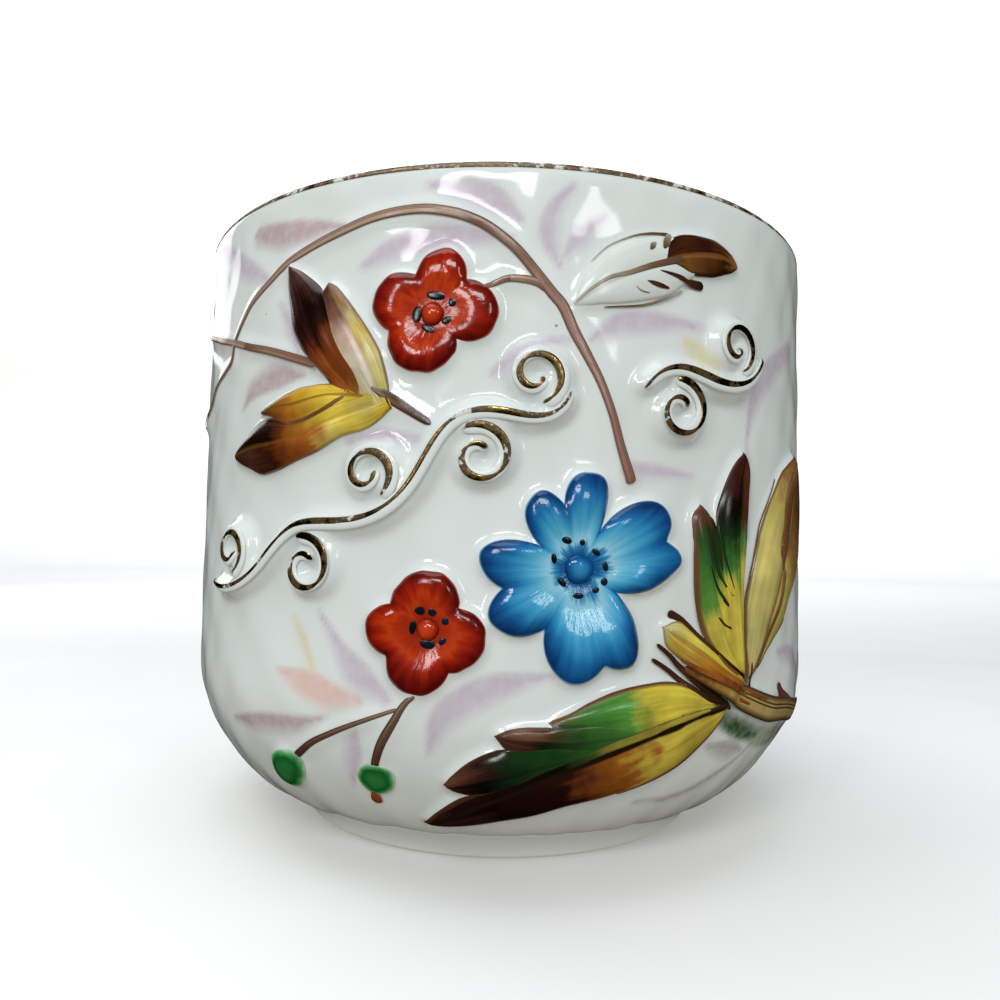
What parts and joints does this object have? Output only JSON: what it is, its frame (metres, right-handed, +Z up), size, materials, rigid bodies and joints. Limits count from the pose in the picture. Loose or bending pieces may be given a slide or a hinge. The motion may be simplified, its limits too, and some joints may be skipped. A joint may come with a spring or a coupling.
{
  "type": "moustache cup",
  "caption": "Porcelain drinking cup with a ledge inside the rim that keeps a moustache dry, a loop handle, and raised painted flowers, leaves and scrollwork.",
  "frame": {"origin": "on the cup's axis, at the table under the foot ring", "axes": "+Z up along the cup's axis, the decorated front faces -Y, the handle points along +Y and the moustache guard is at +X"},
  "size_m": [0.09, 0.1185, 0.0801],
  "materials": {
    "porcelain_glaze": "clear gloss glaze",
    "worn_gilding": "fired gold, worn through in places",
    "gilded_relief": "gloss glaze with worn gold on its edges",
    "brown_enamel": "gloss enamel",
    "leaf_enamel": "gloss enamel shading from yellow through green to brown",
    "red_enamel": "gloss enamel",
    "blue_enamel": "gloss enamel, paler towards the middle",
    "green_enamel": "gloss enamel"
  },
  "bodies": {
    "root": {"cup_body": "porcelain_glaze", "foot_ring": "porcelain_glaze", "moustache_guard": "porcelain_glaze", "handle": "porcelain_glaze", "leaf_upper_right": "porcelain_glaze", "rim_gilding": "worn_gilding", "scroll_left": "gilded_relief", "scroll_right": "gilded_relief", "arch_stem": "brown_enamel", "leaf_twig": "brown_enamel", "spray_twig": "brown_enamel", "bud_stem_left": "brown_enamel", "bud_stem_right": "brown_enamel", "leaf_left_upper": "leaf_enamel", "leaf_left_inner": "leaf_enamel", "leaf_left_middle": "leaf_enamel", "leaf_left_lower": "leaf_enamel", "leaf_right_upright": "leaf_enamel", "leaf_right_outer": "leaf_enamel", "leaf_right_small": "leaf_enamel", "leaf_right_broad": "leaf_enamel", "upper_red_petals": "red_enamel", "upper_red_centre": "red_enamel", "lower_red_petals": "red_enamel", "lower_red_centre": "red_enamel", "blue_petals": "blue_enamel", "blue_centre": "blue_enamel", "bud_left": "green_enamel", "bud_right": "green_enamel"}
  },
  "joints": []
}
